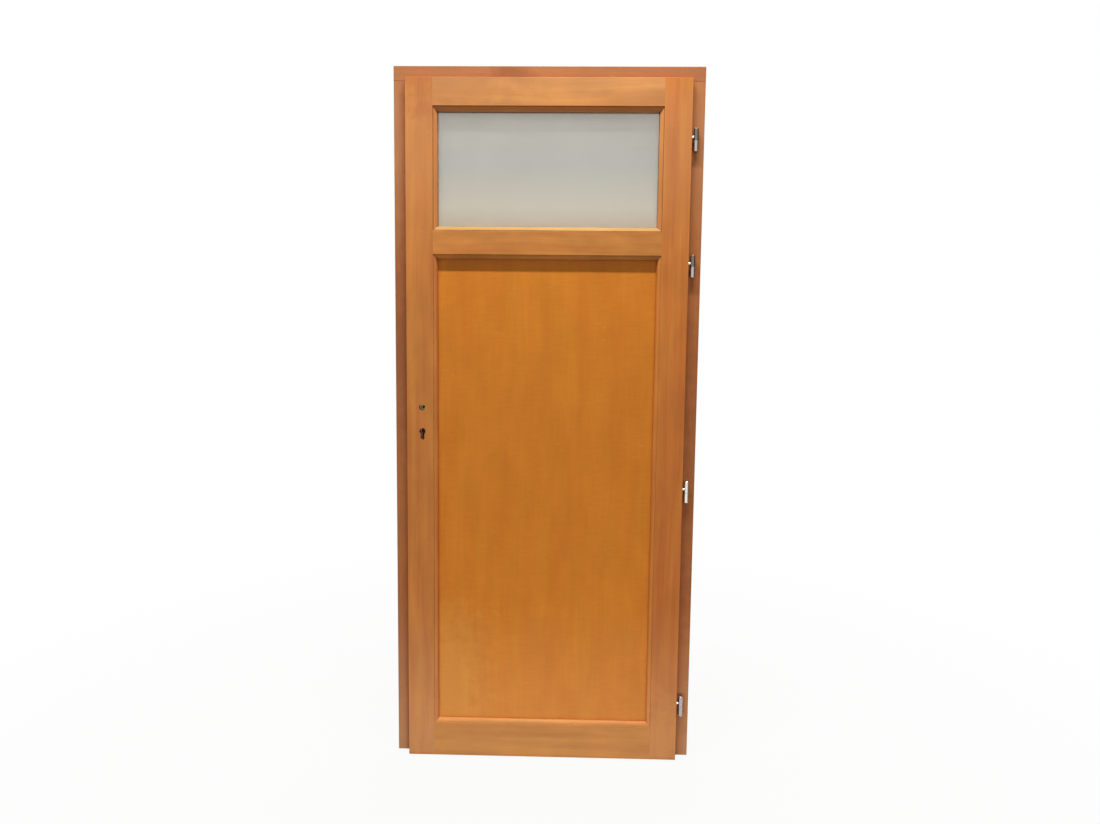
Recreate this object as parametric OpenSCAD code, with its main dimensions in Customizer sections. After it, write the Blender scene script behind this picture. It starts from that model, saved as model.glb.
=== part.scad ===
// Glazed and panelled wooden back door, hung on drilled-in hinges in its own rebated frame.
// X runs towards the hinge side, Y from the room side to the far side, Z upwards.
// The leaf's foot is at Z 0, and X and Y are centred on the frame and leaf together.

/* [Leaf] */
// Width of the leaf over its lips
leaf_w = 830; // [720:1:1000]
// Height of the leaf
leaf_h = 2046; // [1950:1:2300]
// Thickness of the leaf
leaf_t = 40; // [38:1:46]
// Thickness of the lip that laps over the frame's face
lip_t = 15; // [13:0.5:17]
// Flat face of a stile, from the lip's edge to the moulding
stile_face = 80; // [76:1:110]
// Flat face of the top rail
top_rail_face = 80; // [70:1:110]
// Flat face of the rail between glass and panel
mid_rail_face = 69; // [56:1:110]
// Flat face of the bottom rail
bottom_rail_face = 105; // [80:1:180]
// Height of the glazed opening between the two rails
glass_h = 354; // [250:1:450]
// Softened front edge round the leaf
lip_ease = 0.5; // [0.25:0.25:3]

/* [Panel and moulding] */
// Thickness of the flat panel
panel_t = 12; // [10:1:18]
// Step between the flat face and the quarter-round moulding
quirk = 1.5; // [0.5:0.5:3]
// How far the panel runs past the arris into its groove
panel_bite = 2; // [1:0.5:5]
// Room left behind the panel's edge for the wood to move
panel_play = 1.5; // [0.5:0.5:3]

/* [Glazing] */
// Thickness of the glass
glass_t = 4; // [3:0.5:6]
// Room between the edge of the glass and the rebate
glass_play = 3; // [1:0.5:5]
// Width of a glazing bead
bead_w = 12; // [9:0.5:15]
// How far the beads sit below the face of the leaf
bead_set = 2; // [0.5:0.5:4]
// Flat front edge of a bead before its splay
bead_flat = 2; // [1:0.5:4]
// Thickness of a bead's nose at the glass
bead_nose = 15; // [8:0.5:18]

/* [Frame] */
// Frame face that shows beside the leaf on the lock side
margin_lock = 36; // [28:1:60]
// Frame face that shows beside the leaf on the hinge side
margin_hinge = 38; // [28:1:60]
// Frame face that shows above the leaf
margin_head = 36; // [28:1:60]
// How far the leaf hangs below the feet of the jambs
leaf_drop = 8; // [0:1:20]
// Depth of the frame from face to back
frame_depth = 70; // [60:1:110]
// Lap of the leaf over the jambs
side_lap = 13; // [10:1:16]
// Lap of the leaf over the head
head_lap = 6; // [4:1:12]
// Width of the stop on a jamb
stop_w = 13; // [10:1:20]
// Height of the stop on the head
head_stop = 20; // [17:1:30]

/* [Joints in the wood] */
// Length of a rail's tenon
tenon_l = 45; // [30:1:55]
// Shoulder between a tenon and the glass or panel opening
tenon_shoulder = 10; // [8:1:14]
// Shoulder between a tenon and the leaf's top or bottom edge
tenon_end = 15; // [10:1:20]
// Thickness of the tenon on a jamb
jamb_tenon_t = 16; // [12:1:20]
// Length of the tenon on a jamb
jamb_tenon_l = 45; // [30:1:50]
// Shoulder round the tenon on a jamb
jamb_shoulder = 12; // [8:1:14]

/* [Hinges] */
// Distance from the leaf's ends to the centre of the outer hinges
hinge_end = 172; // [140:1:230]
// Distance between the two upper hinges
hinge_pair = 360; // [250:1:450]
// Hinge axis outside the leaf's lip edge
hinge_out = 13; // [11:0.5:16]
// Diameter of a hinge barrel
barrel_d = 13.5; // [12:0.5:14]
// Height of the knuckle on the leaf
leaf_knuckle_h = 34; // [28:1:45]
// Height of the knuckle on the frame
frame_knuckle_h = 30; // [26:1:40]
// Rounded end of a knuckle
knuckle_round = 2; // [0.5:0.5:2.5]
// Thickness of the thrust washer between the knuckles
washer_t = 1; // [0.5:0.5:2]
// Diameter of the hinge pin
pin_d = 8; // [6:0.5:9]
// Reach of the pin above the washer
pin_up = 22; // [12:1:26]
// Seat of the pin in the frame knuckle
pin_down = 22; // [12:1:24]
// Diameter of the stems drilled into the wood
stem_d = 7; // [5:0.5:8]
// Depth of the leaf stem in the lip edge
leaf_stem_l = 36; // [25:1:60]
// Depth of the frame stem in the jamb
frame_stem_l = 42; // [25:1:55]
// Distance from the washer to each stem's axis
stem_off = 10; // [6:0.5:14]

/* [Lock] */
// Height of the handle spindle above the leaf's foot
spindle_z = 1090; // [950:1:1150]
// Distance from the leaf's lip edge to the spindle
spindle_in = 46.5; // [44:0.5:50]
// Distance from the spindle down to the key cylinder
cylinder_drop = 72; // [70:0.5:92]
// Hole in the stile round the spindle
spindle_hole_d = 21; // [19:0.5:26]
// Round part of the key cylinder's hole in the stile
keyhole_d = 19; // [18:0.5:22]
// Narrow part of the key cylinder's hole in the stile
keyhole_leg_w = 11.5; // [10.5:0.5:14]
// Height of the key cylinder's hole in the stile
keyhole_h = 36; // [34:0.5:42]
// How far the spindle's and the key cylinder's holes run past the lock's middle
hole_end = 10; // [8:0.5:11]
// Square hole for the handle spindle
spindle_sq = 8.2; // [7:0.1:9.2]
// Width of the forend let into the stile's edge
forend_w = 20; // [17:1:22]
// Height of the forend
forend_h = 235; // [220:1:300]
// Thickness of the forend
forend_t = 3; // [2:0.5:4]
// Thickness of the lock case
case_t = 14; // [13:0.5:16]
// Sheet of the lock case and its cover
case_wall = 1.5; // [1:0.25:2]
// Lock case above the spindle
case_above = 42; // [38:1:50]
// Lock case below the key cylinder
case_below = 45; // [36:1:55]
// Lock case behind the spindle
case_behind = 19; // [18:0.5:24]
// Height of the latch
latch_h = 16; // [14:0.5:20]
// Travel of the latch
latch_throw = 10.5; // [8:0.25:11]
// Height of the deadbolt
bolt_h = 28; // [20:1:34]
// Travel of the deadbolt
bolt_throw = 20; // [14:1:22]
// Turn of the follower that draws the latch back
follower_turn = 35; // [30:1:40]
// Thickness of the strike plate in the jamb
strike_t = 2.5; // [2:0.5:4]
// Width of the strike plate
strike_w = 18; // [16:0.5:20]
// Plate left beyond the latch and bolt holes
strike_end = 22; // [18:1:30]

/* [Clearances] */
// Between the leaf's lip and the frame's face
face_gap = 0.8; // [0.4:0.1:2]
// Between the back of the leaf and the stop
back_gap = 1.3; // [0.5:0.1:3]
// Between the leaf's rebated edge and the jamb
edge_gap = 3.5; // [3:0.25:5]
// Between sliding lock pieces
slide_gap = 0.3; // [0.2:0.05:0.5]
// Between turning pieces and their bearings
run_gap = 0.1; // [0.05:0.05:0.2]
// Round pieces seated in their drilled holes
seat_gap = 0.05; // [0.02:0.01:0.1]
// Room round the lock case in the stile
pocket_gap = 0.5; // [0.25:0.25:1]
// Room for the latch and bolt in the strike plate
strike_play = 1; // [0.5:0.25:1.5]
// Spare depth behind the thrown latch and bolt, and behind tenons
end_spare = 3; // [1:0.5:5]

/* [Hidden] */
$fn = 48;
// Overshoot of a cutting solid past the face it cuts.
cut = 1;

lip_w = side_lap + edge_gap;
frame_w = leaf_w + margin_lock + margin_hinge;
frame_top = leaf_h + margin_head;
face_y = -(frame_depth - face_gap - lip_t) / 2;
leaf_y = face_y - face_gap - lip_t;
leaf_x = margin_lock - frame_w / 2;
rebate_d = leaf_t - lip_t - face_gap + back_gap;

recess = (leaf_t - panel_t) / 2;
ovolo_r = recess - quirk;
glass_z1 = leaf_h - top_rail_face;
glass_z0 = glass_z1 - glass_h;
panel_z1 = glass_z0 - mid_rail_face;
panel_z0 = bottom_rail_face;
opening_w = leaf_w - 2 * stile_face;
glass_front = leaf_t - recess - glass_t;
tenon_t = panel_t;

head_z0 = leaf_h - head_lap;
head_stop_z0 = head_z0 - head_stop;

barrel_r = barrel_d / 2;
pin_r = pin_d / 2;
stem_r = stem_d / 2;
hinge_x = leaf_x + leaf_w + hinge_out;
hinge_y = leaf_y + lip_t / 2;
barrel_h = frame_knuckle_h + washer_t + leaf_knuckle_h;
hinge_top = leaf_h - hinge_end;
hinge_second = hinge_top - hinge_pair;
hinge_centres = [hinge_top, hinge_second, (hinge_second + hinge_end) / 2, hinge_end];
pin_chamfer = 1;

// The lock's own frame starts at the forend's face on the spindle's level.
lock_mid = (lip_t + leaf_t) / 2;
backset = spindle_in - lip_w;
case_d = backset + case_behind;
case_h = case_above + cylinder_drop + case_below;
case_room = case_t - 2 * case_wall;
bolt_t = case_room - 2 * slide_gap;
case_key_rim = 0.75;
case_key_d = keyhole_d - 2 * case_key_rim;
case_key_leg_w = keyhole_leg_w - 2 * case_key_rim;
case_key_h = keyhole_h - 2 * case_key_rim;
follower_lap = 0.5;
follower_r = spindle_hole_d / 2 + follower_lap;
boss_step = 2;
follower_boss_r = follower_r - boss_step;
arm_r = latch_throw / (2 * sin(follower_turn / 2));
arm_end_r = 2.5;
arm_w = 2.8;
arm_t = 6;
lock_room = 2.5;
latch_z0 = follower_r + lock_room;
latch_z1 = latch_z0 + latch_h;
spring_room = 7.5;
latch_l = case_d - case_wall - spring_room;
latch_nose = 11;
latch_tip = 2;
latch_stud_r = 1.5;
latch_stud_x = forend_t + latch_nose;
slot_edge = 2;
latch_stud_z = latch_z1 - latch_stud_r - slot_edge;
bolt_z0 = -cylinder_drop + keyhole_d / 2 + lock_room;
bolt_z1 = bolt_z0 + bolt_h;
bolt_room = 3.5;
bolt_l = case_d - case_wall - bolt_room;
bolt_stud_r = 2.5;
slot_end = 5;
bolt_stud_x = bolt_l - bolt_throw - bolt_stud_r - slot_end;
stud_seat = 0.75;
talon_w = 10;
talon_h = 6;
spring_wire = 0.8;
spring_d = 7;
spring_turns = 5;
spring_sides = 8;
spring_steps = 16;
fixing_hole_d = 5.5;
screw_head_d = 7.5;
screw_shank_d = 4;
screw_sink = 2;
screw_l = 25;
forend_screw_in = 8;
strike_screw_in = 9;
forend_mid = -cylinder_drop / 2;
strike_z0 = bolt_z0 - strike_end;
strike_z1 = latch_z1 + strike_end;

oak = [0.74, 0.47, 0.25];
frame_oak = [0.62, 0.37, 0.22];
veneer = [0.76, 0.48, 0.19];
bead_oak = [0.80, 0.49, 0.20];
frosted = [0.74, 0.74, 0.71];
steel = [0.66, 0.66, 0.66];
brass = [0.66, 0.58, 0.36];

// Helpers

// Places a piece in the leaf's frame: X from the lock-side lip edge, Y from the front face.
module on_leaf() {
    translate([leaf_x, leaf_y, 0])
        children();
}

// Turns a lock-side piece of the leaf into its hinge-side twin.
module hinge_side() {
    translate([leaf_w, 0, 0])
        mirror([1, 0, 0])
            children();
}

// Places a piece in the lock's frame: X from the forend's face, Z from the spindle.
module on_lock() {
    translate([leaf_x + lip_w, leaf_y + lock_mid, spindle_z])
        children();
}

// Places a piece on the jamb's rebate at the level of the lock.
module on_strike() {
    translate([leaf_x + side_lap, leaf_y + lock_mid, spindle_z])
        children();
}

// Runs a Y-Z section along X.
module along_x(length) {
    rotate([90, 0, 90])
        linear_extrude(length)
            children();
}

// A box from one corner to the opposite one.
module span(low, high) {
    translate(low)
        cube(high - low);
}

// A rounded slot along X, cut through in Y.
module slot_y(x0, x1, z, r, depth) {
    for (x = [x0, x1])
        translate([x, 0, z])
            rotate([90, 0, 0])
                cylinder(r = r, h = depth, center = true);
    span([x0, -depth / 2, z - r], [x1, depth / 2, z + r]);
}

// A countersunk screw along +X, with its head flush at the origin.
module screw_x(grow = 0) {
    head = screw_head_d / 2 + grow;
    shank = screw_shank_d / 2 + grow;
    rotate([0, 90, 0])
        rotate_extrude()
            polygon([[0, 0], [head, 0], [shank, screw_sink], [shank, screw_l - shank], [0, screw_l]]);
}

// Mouldings

// Quarter of the moulding's round, between the flat face and the panel.
module quarter(face_dir, open_dir) {
    intersection() {
        circle(r = ovolo_r);
        scale([open_dir, face_dir])
            translate([-cut, 0])
                square([ovolo_r + cut, ovolo_r]);
    }
}

// Mouldings that a stile carries: both sides of the panel, and the far side of the glass.
module stile_moulding() {
    translate([stile_face, recess, panel_z0])
        linear_extrude(panel_z1 - panel_z0)
            quarter(-1, 1);
    for (zone = [[panel_z0, panel_z1], [glass_z0, glass_z1]])
        translate([stile_face, leaf_t - recess, zone[0]])
            linear_extrude(zone[1] - zone[0])
                quarter(1, 1);
}

// A rail's moulding on one edge: dir says up or down, glazed leaves out the near side.
module rail_moulding(z, dir, glazed) {
    translate([stile_face, 0, 0])
        along_x(opening_w) {
            translate([leaf_t - recess, z])
                rotate(90)
                    scale([dir, 1])
                        quarter(-1, 1);
            if (!glazed)
                translate([recess, z])
                    rotate(90)
                        scale([dir, 1])
                            quarter(1, 1);
        }
}

// Leaf

// The panel with its room to move, as cut out of stiles and rails.
module panel_body(play) {
    grip = panel_bite + play;
    span([stile_face - grip, recess, panel_z0 - grip],
         [leaf_w - stile_face + grip, recess + panel_t, panel_z1 + grip]);
}

// Wedges that soften the leaf's front edge all the way round.
module edge_ease() {
    for (side = [0, 1])
        translate([side * leaf_w, 0, leaf_h / 2])
            rotate(45)
                cube([lip_ease * sqrt(2), lip_ease * sqrt(2), leaf_h + 2 * cut], center = true);
    for (z = [0, leaf_h])
        translate([leaf_w / 2, 0, z])
            rotate([45, 0, 0])
                cube([leaf_w + 2 * cut, lip_ease * sqrt(2), lip_ease * sqrt(2)], center = true);
}

// Tenon of one rail on the lock side, between two heights.
module tenon(z0, z1, spare = 0) {
    mid = leaf_t / 2;
    span([stile_face - tenon_l - spare, mid - tenon_t / 2, z0],
         [stile_face, mid + tenon_t / 2, z1]);
}

// The three tenons that a stile takes.
module all_tenons(spare = 0) {
    tenon(tenon_end, panel_z0 - tenon_shoulder, spare);
    tenon(panel_z1 + tenon_shoulder, glass_z0 - tenon_shoulder, spare);
    tenon(glass_z1 + tenon_shoulder, leaf_h - lip_w - tenon_end, spare);
}

// A stile in its lock-side position, before lock and hinges are let in.
module stile() {
    difference() {
        union() {
            cube([stile_face, lip_t, leaf_h]);
            span([lip_w, 0, 0], [stile_face, leaf_t, leaf_h - lip_w]);
            stile_moulding();
        }
        panel_body(panel_play);
        all_tenons(end_spare);
        edge_ease();
    }
}

// Finishes a rail: tenons on both ends, ends scribed over the stiles' mouldings.
module rail_between(tenon_z0, tenon_z1) {
    difference() {
        children();
        stile_moulding();
        hinge_side()
            stile_moulding();
        panel_body(panel_play);
        edge_ease();
    }
    tenon(tenon_z0, tenon_z1);
    hinge_side()
        tenon(tenon_z0, tenon_z1);
}

module stile_lock_side() {
    color(oak)
        difference() {
            on_leaf()
                stile();
            on_lock()
                lock_pocket();
        }
}

module stile_hinge_side() {
    color(oak)
        difference() {
            on_leaf()
                hinge_side()
                    stile();
            for (i = [0 : len(hinge_centres) - 1])
                at_hinge(i)
                    leaf_stem(stem_r + seat_gap);
        }
}

module top_rail() {
    color(oak)
        on_leaf()
            rail_between(glass_z1 + tenon_shoulder, leaf_h - lip_w - tenon_end) {
                span([stile_face, 0, glass_z1], [leaf_w - stile_face, leaf_t, leaf_h - lip_w]);
                span([stile_face, 0, glass_z1], [leaf_w - stile_face, lip_t, leaf_h]);
                rail_moulding(glass_z1, -1, true);
            }
}

module mid_rail() {
    color(oak)
        on_leaf()
            rail_between(panel_z1 + tenon_shoulder, glass_z0 - tenon_shoulder) {
                span([stile_face, 0, panel_z1], [leaf_w - stile_face, leaf_t, glass_z0]);
                rail_moulding(glass_z0, 1, true);
                rail_moulding(panel_z1, -1, false);
            }
}

module bottom_rail() {
    color(oak)
        on_leaf()
            rail_between(tenon_end, panel_z0 - tenon_shoulder) {
                span([stile_face, 0, 0], [leaf_w - stile_face, leaf_t, panel_z0]);
                rail_moulding(panel_z0, 1, false);
            }
}

module panel() {
    color(veneer)
        on_leaf()
            panel_body(0);
}

module glass_pane() {
    color(frosted)
        on_leaf()
            span([stile_face + glass_play, glass_front, glass_z0 + glass_play],
                 [leaf_w - stile_face - glass_play, glass_front + glass_t, glass_z1 - glass_play]);
}

// A bead of one length lying on the glass, on its outer edge, mitred at both ends.
module bead(length) {
    splay_y = glass_front - bead_nose;
    intersection() {
        along_x(length)
            polygon([[bead_set, 0], [glass_front, 0], [glass_front, bead_w],
                     [splay_y, bead_w], [bead_set, bead_flat]]);
        rotate([90, 0, 0])
            translate([0, 0, -leaf_t])
                linear_extrude(leaf_t)
                    polygon([[0, 0], [length, 0], [length - bead_w, bead_w], [bead_w, bead_w]]);
    }
}

module glazing_bead_bottom() {
    color(bead_oak)
        on_leaf()
            translate([stile_face, 0, glass_z0])
                bead(opening_w);
}

module glazing_bead_top() {
    color(bead_oak)
        on_leaf()
            translate([leaf_w - stile_face, 0, glass_z1])
                rotate([0, 180, 0])
                    bead(opening_w);
}

module glazing_bead_lock_side() {
    color(bead_oak)
        on_leaf()
            translate([stile_face, 0, glass_z1])
                rotate([0, 90, 0])
                    bead(glass_h);
}

module glazing_bead_hinge_side() {
    color(bead_oak)
        on_leaf()
            translate([leaf_w - stile_face, 0, glass_z0])
                rotate([0, -90, 0])
                    bead(glass_h);
}

// Frame

// Tenon on top of a jamb that shows this much face.
module jamb_tenon(face_w, spare = 0) {
    span([jamb_shoulder, rebate_d + jamb_shoulder, head_stop_z0],
         [face_w - jamb_shoulder, rebate_d + jamb_shoulder + jamb_tenon_t,
          head_stop_z0 + jamb_tenon_l + spare]);
}

// A jamb from its outer edge inwards: face, rebate cheek, stop and tenon.
module jamb(face_w) {
    span([0, 0, leaf_drop], [face_w, rebate_d, head_z0]);
    span([0, rebate_d, leaf_drop], [face_w + stop_w, frame_depth, head_stop_z0]);
    jamb_tenon(face_w);
}

// Places a jamb of the lock side, or its mirror image on the hinge side.
module on_frame(hinge = false) {
    side = hinge ? 1 : -1;
    translate([side * frame_w / 2, face_y, 0])
        mirror([hinge ? 1 : 0, 0, 0])
            children();
}

module jamb_lock_side() {
    color(frame_oak)
        difference() {
            on_frame()
                jamb(margin_lock + side_lap);
            on_strike() {
                span([-strike_t, -strike_w / 2, strike_z0], [cut, strike_w / 2, strike_z1]);
                strike_holes(latch_throw - edge_gap + end_spare, bolt_throw - edge_gap + end_spare);
                strike_screw_places()
                    screw_x(seat_gap);
            }
        }
}

module jamb_hinge_side() {
    color(frame_oak)
        difference() {
            on_frame(true)
                jamb(margin_hinge + side_lap);
            for (i = [0 : len(hinge_centres) - 1])
                at_hinge(i)
                    frame_stem(stem_r + seat_gap);
        }
}

module head() {
    color(frame_oak)
        difference() {
            translate([-frame_w / 2, face_y, 0])
                along_x(frame_w)
                    polygon([[0, head_z0], [rebate_d, head_z0], [rebate_d, head_stop_z0],
                             [frame_depth, head_stop_z0], [frame_depth, frame_top], [0, frame_top]]);
            on_frame()
                jamb_tenon(margin_lock + side_lap, end_spare);
            on_frame(true)
                jamb_tenon(margin_hinge + side_lap, end_spare);
        }
}

// Strike

// Holes for the latch and the bolt, cut this deep behind the rebate's face.
module strike_holes(latch_depth, bolt_depth) {
    half = bolt_t / 2 + strike_play;
    span([-latch_depth, -half, latch_z0 - strike_play], [cut, half, latch_z1 + strike_play]);
    span([-bolt_depth, -half, bolt_z0 - strike_play], [cut, half, bolt_z1 + strike_play]);
}

module strike_screw_places() {
    for (z = [strike_z0 + strike_screw_in, strike_z1 - strike_screw_in])
        translate([0, 0, z])
            mirror([1, 0, 0])
                children();
}

module strike_plate() {
    color(steel)
        on_strike()
            difference() {
                span([-strike_t, -strike_w / 2, strike_z0], [0, strike_w / 2, strike_z1]);
                strike_holes(strike_t + cut, strike_t + cut);
                strike_screw_places()
                    screw_x(seat_gap);
            }
}

module strike_screws() {
    color(steel)
        on_strike()
            strike_screw_places()
                screw_x();
}

// Hinges

// Places a piece on one hinge's axis, with Z 0 at the top of its frame knuckle.
module at_hinge(i) {
    translate([hinge_x, hinge_y, hinge_centres[i] - barrel_h / 2 + frame_knuckle_h])
        children();
}

// A turned knuckle with one rounded end, standing on its flat end.
module knuckle(height) {
    rotate_extrude() {
        square([barrel_r, height - knuckle_round]);
        square([barrel_r - knuckle_round, height]);
        translate([barrel_r - knuckle_round, height - knuckle_round])
            intersection() {
                circle(r = knuckle_round);
                square(knuckle_round);
            }
    }
}

// Stem of the leaf knuckle, into the lip's edge.
module leaf_stem(r) {
    translate([0, 0, washer_t + stem_off])
        rotate([0, -90, 0])
            cylinder(r = r, h = hinge_out + leaf_stem_l);
}

// Stem of the frame knuckle, into the jamb's face.
module frame_stem(r) {
    translate([0, 0, -stem_off])
        rotate([-90, 0, 0])
            cylinder(r = r, h = face_y - hinge_y + frame_stem_l);
}

module hinge_leaf_knuckle(i) {
    color(steel)
        at_hinge(i)
            difference() {
                union() {
                    translate([0, 0, washer_t])
                        knuckle(leaf_knuckle_h);
                    leaf_stem(stem_r);
                }
                cylinder(r = pin_r + run_gap, h = washer_t + pin_up + cut);
            }
}

module hinge_frame_knuckle(i) {
    color(steel)
        at_hinge(i)
            difference() {
                union() {
                    mirror([0, 0, 1])
                        knuckle(frame_knuckle_h);
                    frame_stem(stem_r);
                }
                translate([0, 0, -pin_down])
                    cylinder(r = pin_r + seat_gap, h = pin_down + cut);
            }
}

module hinge_pin(i) {
    color(steel)
        at_hinge(i)
            rotate_extrude()
                polygon([[0, -pin_down], [pin_r, -pin_down], [pin_r, washer_t + pin_up - pin_chamfer],
                         [pin_r - pin_chamfer, washer_t + pin_up], [0, washer_t + pin_up]]);
}

module hinge_washer(i) {
    color(brass)
        at_hinge(i)
            difference() {
                cylinder(r = barrel_r - slide_gap, h = washer_t);
                translate([0, 0, -cut])
                    cylinder(r = pin_r + run_gap, h = washer_t + 2 * cut);
            }
}

// Lock

// Key cylinder outline, round above and narrow below, from its far end towards the room.
module key_hole(d, leg_w, h, end, depth) {
    leg_r = leg_w / 2;
    foot = d / 2 - h + leg_r;
    translate([0, end, -cylinder_drop])
        rotate([90, 0, 0])
            linear_extrude(depth) {
                circle(d = d);
                translate([-leg_r, foot])
                    square([leg_w, -foot]);
                translate([0, foot])
                    circle(r = leg_r);
            }
}

// Everything that the lock takes out of its stile.
module lock_pocket() {
    deep = 2 * leaf_t;
    half = case_t / 2 + pocket_gap;
    span([-cut, -forend_w / 2, forend_mid - forend_h / 2],
         [forend_t, forend_w / 2, forend_mid + forend_h / 2]);
    span([0, -half, case_above - case_h - pocket_gap], [case_d + pocket_gap, half, case_above + pocket_gap]);
    translate([backset, 0, 0]) {
        translate([0, hole_end, 0])
            rotate([90, 0, 0])
                cylinder(d = spindle_hole_d, h = deep);
        key_hole(keyhole_d, keyhole_leg_w, keyhole_h, hole_end, deep);
    }
    forend_screw_places()
        screw_x(seat_gap);
}

module forend_screw_places() {
    for (end = [-1, 1])
        translate([0, 0, forend_mid + end * (forend_h / 2 - forend_screw_in)])
            children();
}

module lock_forend() {
    half = bolt_t / 2 + slide_gap;
    color(steel)
        on_lock()
            difference() {
                span([0, -forend_w / 2, forend_mid - forend_h / 2],
                     [forend_t, forend_w / 2, forend_mid + forend_h / 2]);
                for (hole = [[latch_z0, latch_z1], [bolt_z0, bolt_z1]])
                    span([-cut, -half, hole[0] - slide_gap], [forend_t + cut, half, hole[1] + slide_gap]);
                translate([-cut, 0, -cylinder_drop])
                    rotate([0, 90, 0])
                        cylinder(d = fixing_hole_d, h = forend_t + 2 * cut);
                forend_screw_places()
                    screw_x(seat_gap);
            }
}

module forend_screws() {
    color(steel)
        on_lock()
            forend_screw_places()
                screw_x();
}

// Bearing for the follower and way through for the key cylinder.
module case_holes() {
    translate([backset, 0, 0]) {
        rotate([90, 0, 0])
            cylinder(r = follower_boss_r + run_gap, h = 2 * case_t, center = true);
        key_hole(case_key_d, case_key_leg_w, case_key_h, case_t, 2 * case_t);
    }
}

module lock_case() {
    z0 = case_above - case_h;
    color(steel)
        on_lock() {
            difference() {
                span([forend_t, -case_t / 2, z0], [case_d, case_t / 2 - case_wall, case_above]);
                span([0, case_wall - case_t / 2, z0 + case_wall],
                     [case_d - case_wall, case_t, case_above - case_wall]);
                case_holes();
            }
            for (stud = [[latch_stud_x, latch_stud_z, latch_stud_r],
                         [bolt_stud_x, (bolt_z0 + bolt_z1) / 2, bolt_stud_r]])
                translate([stud[0], case_t / 2 - case_wall, stud[1]])
                    rotate([90, 0, 0])
                        cylinder(r = stud[2], h = case_room + stud_seat);
        }
}

module lock_cover() {
    color(steel)
        on_lock()
            difference() {
                span([forend_t, case_t / 2 - case_wall, case_above - case_h],
                     [case_d, case_t / 2, case_above]);
                case_holes();
            }
}

// Sprung latch, drawn back, bevelled on the side that meets the jamb first.
module latch_bolt() {
    half = bolt_t / 2;
    arm_x = backset + latch_throw / 2;
    notch = arm_end_r + slide_gap;
    color(brass)
        on_lock()
            difference() {
                translate([0, 0, latch_z0])
                    linear_extrude(latch_h)
                        polygon([[0, -half], [latch_l, -half], [latch_l, half],
                                 [latch_nose, half], [0, latch_tip - half]]);
                span([arm_x - notch, -case_t, 0], [arm_x + notch, case_t, arm_r + notch]);
                slot_y(latch_stud_x, latch_stud_x + latch_throw, latch_stud_z,
                       latch_stud_r + slide_gap, 2 * case_t);
            }
}

// Deadbolt, drawn back, with a guide slot and the notch that the key's cam drives.
module deadbolt() {
    half = bolt_t / 2;
    mid = (bolt_z0 + bolt_z1) / 2;
    color(brass)
        on_lock()
            difference() {
                span([0, -half, bolt_z0], [bolt_l, half, bolt_z1]);
                slot_y(bolt_stud_x, bolt_stud_x + bolt_throw, mid, bolt_stud_r + slide_gap, 2 * case_t);
                span([backset - talon_w / 2, -case_t, bolt_z0 - cut],
                     [backset + talon_w / 2, case_t, bolt_z0 + talon_h]);
            }
}

// Follower turned as far as it goes, so that its arm holds the latch back.
module follower() {
    color(brass)
        on_lock()
            translate([backset, 0, 0])
                rotate([0, follower_turn / 2, 0])
                    difference() {
                        union() {
                            rotate([90, 0, 0])
                                cylinder(r = follower_r, h = bolt_t, center = true);
                            rotate([90, 0, 0])
                                cylinder(r = follower_boss_r, h = case_t, center = true);
                            span([-arm_w / 2, -arm_t / 2, 0], [arm_w / 2, arm_t / 2, arm_r]);
                            translate([0, 0, arm_r])
                                rotate([90, 0, 0])
                                    cylinder(r = arm_end_r, h = arm_t, center = true);
                        }
                        rotate([0, follower_turn / 2, 0])
                            cube([spindle_sq, 2 * case_t, spindle_sq], center = true);
                    }
}

// One ring of points round the spring's wire at a share of its length.
function wire_ring(share, length) =
    let (turn = 360 * spring_turns * share)
    let (mid_r = (spring_d - spring_wire) / 2)
    [for (k = [0 : spring_sides - 1])
        let (around = 360 * k / spring_sides)
        let (r = mid_r + spring_wire / 2 * cos(around))
        [spring_wire / 2 * (1 + sin(around)) + share * (length - spring_wire), r * cos(turn), r * sin(turn)]];

// Coil spring behind the latch, closed up because the latch is drawn back.
module latch_spring() {
    length = case_d - case_wall - latch_l;
    rings = spring_turns * spring_steps;
    n = spring_sides;
    points = [for (s = [0 : rings]) each wire_ring(s / rings, length)];
    walls = [for (s = [0 : rings - 1]) for (k = [0 : n - 1])
        [s * n + k, s * n + (k + 1) % n, (s + 1) * n + (k + 1) % n, (s + 1) * n + k]];
    ends = [[for (k = [n - 1 : -1 : 0]) k], [for (k = [0 : n - 1]) rings * n + k]];
    color(steel)
        on_lock()
            translate([latch_l, 0, (latch_z0 + latch_z1) / 2])
                polyhedron(points, concat(walls, ends));
}

HINGES = [for (i = [1 : len(hinge_centres)]) str("hinge_", i)];

head();
jamb_lock_side();
jamb_hinge_side();
strike_plate();
strike_screws();
stile_lock_side();
stile_hinge_side();
top_rail();
mid_rail();
bottom_rail();
panel();
glass_pane();
glazing_bead_top();
glazing_bead_bottom();
glazing_bead_lock_side();
glazing_bead_hinge_side();
lock_case();
lock_cover();
lock_forend();
forend_screws();
latch_bolt();
deadbolt();
follower();
latch_spring();
for (i = [0 : len(HINGES) - 1]) {
    hinge_leaf_knuckle(i);
    hinge_frame_knuckle(i);
    hinge_pin(i);
    hinge_washer(i);
}
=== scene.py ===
"""A glazed wooden back door in its frame: timber, glass, hinges, lock and a plain studio."""

import logging
import math
from collections.abc import Iterator, Mapping
from dataclasses import dataclass, replace
from enum import Enum

import bmesh
import bpy
from mathutils import Matrix, Vector


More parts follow.
